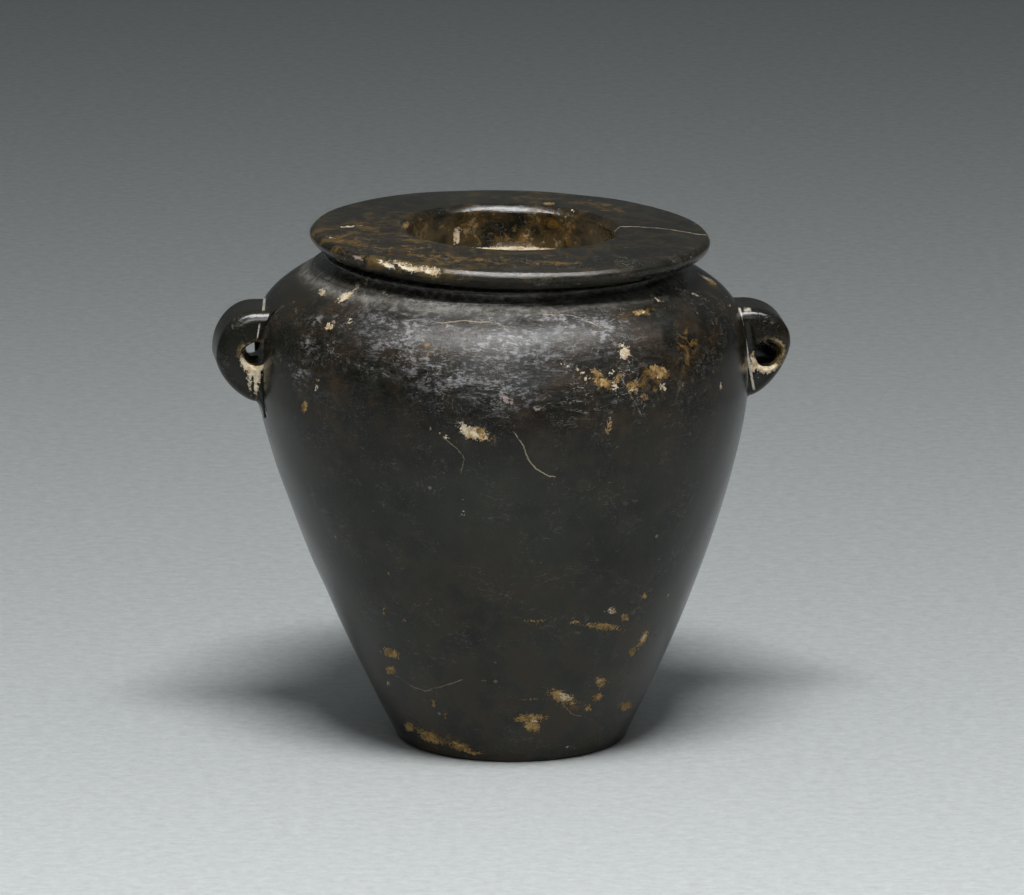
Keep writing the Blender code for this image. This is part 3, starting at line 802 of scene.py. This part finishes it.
wider = sums("MULTIPLY_ADD", kept("crack_strength"), 0.35, 0.65)
crack_share = sums("MULTIPLY", ramp(sums("DIVIDE", crack_near, wider), 0.16, 0.03), broken)

ochre_tone = blend(ramp(grit, 0.38, 0.64), (0.19, 0.100, 0.022, 1), (0.54, 0.35, 0.13, 1))
cream_tone = blend(ramp(grit, 0.34, 0.60), (0.44, 0.28, 0.11, 1), (0.80, 0.70, 0.52, 1))
surface = blend(sums("MULTIPLY", ochre_share, 0.92), dark, ochre_tone)
surface = blend(sums("MULTIPLY", pink_share, 0.7), surface, (0.42, 0.34, 0.31, 1))
surface = blend(cream_share, surface, cream_tone)
surface = blend(sums("MULTIPLY", dust_share, 0.75), surface, (0.42, 0.30, 0.13, 1))
surface = blend(sums("MULTIPLY", crack_share, 0.85), surface, (0.46, 0.38, 0.27, 1))

# Crust in the groove between each lug's front face and the wall: from one x and z to another, how
# wide, and how far forward it comes, in millimetres.
root_share = 0
ragged_y = sums("MULTIPLY_ADD", grit, 0.0024, place_y)
for first, last, width, foremost in (
    ((40.45, 81.2), (43.6, 63.8), 0.24, -2.4),
    ((42.1, 79.3), (42.4, 78.1), 0.62, -2.4),
    ((-44.9, 84.5), (-44.2, 80.4), 0.25, -12.5),
    ((-43.0, 78.3), (-43.9, 74.7), 0.19, -12.5),
    ((-44.9, 78.3), (-45.3, 75.7), 0.15, -12.5),
):
    lean = (first[0] - last[0]) / (first[1] - last[1])
    off = sums("MULTIPLY_ADD", place_z, -lean, (lean * last[1] - last[0]) * 0.001)
    off = sums("ABSOLUTE", sums("ADD", off, place_x))
    line = ramp(off, width * 0.00125, width * 0.0006)
    line = sums("MULTIPLY", line, ramp(place_z, last[1] * 0.001 - 0.0003, last[1] * 0.001 + 0.0004))
    line = sums("MULTIPLY", line, ramp(place_z, first[1] * 0.001 + 0.0003, first[1] * 0.001 - 0.0004))
    line = sums("MULTIPLY", line, ramp(ragged_y, (foremost + 0.9) * 0.001, (foremost + 1.2) * 0.001))
    root_share = sums("MAXIMUM", root_share, line)
root_share = sums("MULTIPLY", root_share, ramp(place_y, 0.0012, 0.0004))
root_grit = sums("ADD", grit, sums("MULTIPLY", root_share, 0.12))
root_share = sums("MULTIPLY", root_share, ramp(root_grit, 0.44, 0.58))
surface = blend(sums("MULTIPLY", root_share, 0.92), surface, (0.62, 0.57, 0.48, 1))
bench.links.new(surface, shader.inputs["Base Color"])
crust = sums("MAXIMUM", sums("MAXIMUM", ochre_share, cream_share), sums("MAXIMUM", dust_share, crack_share))
gloss = sums("ADD", 0.12, sums("MULTIPLY", mottle, 0.15))
worn = sums("MULTIPLY", kept("worn"), ramp(streak, 0.22, 0.55))
gloss = sums("ADD", gloss, sums("MULTIPLY", worn, 0.30))
gloss = sums("ADD", gloss, sums("MULTIPLY", crust, 0.45), clamp=True)
bench.links.new(gloss, shader.inputs["Roughness"])
shader.inputs["IOR"].default_value = 1.34

# Height for the bump, in metres: ground streaks and grain, dusty crust and sunk scratches.
skin = sums("ADD", sums("MULTIPLY", streak, 0.00008), sums("MULTIPLY", fine_streak, 0.00006))
skin = sums("ADD", skin, sums("MULTIPLY", grain, 0.000020))
skin = sums("MULTIPLY", sums("ADD", 0.15, kept("worn")), skin)
skin = sums("ADD", skin, sums("MULTIPLY", grit, 0.000022))
skin = sums("ADD", skin, sums("MULTIPLY", sums("MULTIPLY", crust, crumb), 0.00028))
skin = sums("SUBTRACT", skin, sums("MULTIPLY", sums("MAXIMUM", scratch, crack_share), 0.00006))
relief = node("Bump", {"Height": skin, "Distance": 1.0, "Strength": 1.0})
bench.links.new(relief, shader.inputs["Normal"])
jar.data.materials.clear()
jar.data.materials.append(stone)

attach(jar, "root")
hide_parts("jar")

# The floor
# A wide sheet of pale grey card under the jar. Painted shade: it darkens toward its front edge, out of the
# picture, standing in for the unlit room in front that the polished jar reflects.

floor_mesh = bpy.data.meshes.new("card_floor")
floor_mesh.from_pydata([(-6, -6, 0), (6, -6, 0), (6, 6, 0), (-6, 6, 0)], [], [(0, 1, 2, 3)])
floor = bpy.data.objects.new("card_floor", floor_mesh)
bpy.context.scene.collection.objects.link(floor)
card = bpy.data.materials.new("grey_card")
card.use_nodes = True
card_shader = card.node_tree.nodes["Principled BSDF"]
card_shader.inputs["Roughness"].default_value = 0.9
paper = card.node_tree
spot = paper.nodes.new("ShaderNodeTexCoord")
drawn = paper.nodes.new("ShaderNodeMapping")
paper.links.new(spot.outputs["Object"], drawn.inputs["Vector"])
drawn.inputs["Scale"].default_value = (0.7, 1.0, 1.0)
felt = paper.nodes.new("ShaderNodeTexNoise")
paper.links.new(drawn.outputs["Vector"], felt.inputs["Vector"])
felt.inputs["Scale"].default_value = 520.0
felt.inputs["Detail"].default_value = 4.0
felt.inputs["Roughness"].default_value = 0.85
tint = paper.nodes.new("ShaderNodeMapRange")
paper.links.new(felt.outputs["Fac"], tint.inputs["Value"])
tint.inputs["From Min"].default_value = 0.30
tint.inputs["From Max"].default_value = 0.70
tint.inputs["To Min"].default_value = 0.86
tint.inputs["To Max"].default_value = 1.14
spot_axes = paper.nodes.new("ShaderNodeSeparateXYZ")
paper.links.new(spot.outputs["Object"], spot_axes.inputs["Vector"])
# Painted shade: the card darkens toward its front edge, for the unlit room in front.
darker = paper.nodes.new("ShaderNodeMapRange")
darker.interpolation_type = "SMOOTHSTEP"
paper.links.new(spot_axes.outputs["Y"], darker.inputs["Value"])
darker.inputs["From Min"].default_value = -0.42
darker.inputs["From Max"].default_value = -0.16
darker.inputs["To Min"].default_value = 0.14
darker.inputs["To Max"].default_value = 1.0
grey = paper.nodes.new("ShaderNodeMath")
grey.operation = "MULTIPLY"
paper.links.new(tint.outputs["Result"], grey.inputs[0])
paper.links.new(darker.outputs["Result"], grey.inputs[1])
shade = paper.nodes.new("ShaderNodeVectorMath")
shade.operation = "SCALE"
shade.inputs[0].default_value = (0.50, 0.53, 0.53)
paper.links.new(grey.outputs["Value"], shade.inputs["Scale"])
paper.links.new(shade.outputs["Vector"], card_shader.inputs["Base Color"])
floor_mesh.materials.append(card)

# Light and camera
# One soft light hangs to the front in a dim grey room. A strip and a card light nothing and show
# only as reflections in the polish. The camera looks down a little, through a long lens.


def soft_light(name, place, aim, width, depth, power):
    """A rectangle of light at a place, in metres, facing another."""
    data = bpy.data.lights.new(name, "AREA")
    data.shape = "RECTANGLE"
    data.size = width
    data.size_y = depth
    data.energy = power
    thing = bpy.data.objects.new(name, data)
    bpy.context.scene.collection.objects.link(thing)
    thing.location = place
    thing.rotation_euler = (Vector(aim) - Vector(place)).to_track_quat("-Z", "Y").to_euler()
    return thing


soft_light("front_softbox", (0.026, -0.497, 1.077), (0.026, -1.438, 0.0), 0.46, 0.52, 28.5)
strip = soft_light("overhead_strip", (0.02, -0.2, 1.0), (0.0, 0.0, 0.09), 1.25, 0.14, 23.0)
reflected_card = soft_light("front_card", (0.0, -0.985, 0.77), (0.0, 0.0, 0.08), 0.6, 0.42, 8.0)
strip.visible_diffuse = False
reflected_card.visible_diffuse = False

world = bpy.data.worlds.new("grey_room")
bpy.context.scene.world = world
world.use_nodes = True
sky = world.node_tree
look = sky.nodes.new("ShaderNodeTexCoord")
height_of = sky.nodes.new("ShaderNodeSeparateXYZ")
sky.links.new(look.outputs["Generated"], height_of.inputs["Vector"])
rise = sky.nodes.new("ShaderNodeMath")
rise.operation = "POWER"
rise.use_clamp = True
sky.links.new(height_of.outputs["Z"], rise.inputs[0])
rise.inputs[1].default_value = 1.5
behind = sky.nodes.new("ShaderNodeMapRange")
behind.interpolation_type = "SMOOTHSTEP"
sky.links.new(height_of.outputs["Y"], behind.inputs["Value"])
behind.inputs["From Min"].default_value = -0.1
behind.inputs["From Max"].default_value = 0.8
behind.inputs["To Min"].default_value = 0.012
behind.inputs["To Max"].default_value = 0.068
dim = sky.nodes.new("ShaderNodeMath")
dim.operation = "MULTIPLY_ADD"
sky.links.new(rise.outputs["Value"], dim.inputs[0])
dim.inputs[1].default_value = 0.165
sky.links.new(behind.outputs["Result"], dim.inputs[2])
sky.links.new(dim.outputs["Value"], sky.nodes["Background"].inputs["Strength"])
sky.nodes["Background"].inputs["Color"].default_value = (0.94, 1.0, 1.0, 1.0)

eye = bpy.data.cameras.new("eye")
eye.sensor_width = 36.0
eye.lens = eye.sensor_width * LENS_PIXELS / PHOTO_WIDTH
eye.clip_start = 0.05
eye.clip_end = 50.0
camera = bpy.data.objects.new("eye", eye)
bpy.context.scene.collection.objects.link(camera)
eye_z = EYE_AIM_Z + EYE_DISTANCE * math.sin(EYE_RISE)
camera.location = Vector((EYE_AIM_X, -EYE_DISTANCE * math.cos(EYE_RISE), eye_z)) * 0.001
camera.rotation_euler = (math.pi / 2 - EYE_RISE, 0.0, 0.0)
bpy.context.scene.camera = camera
bpy.context.scene.view_settings.view_transform = "Standard"
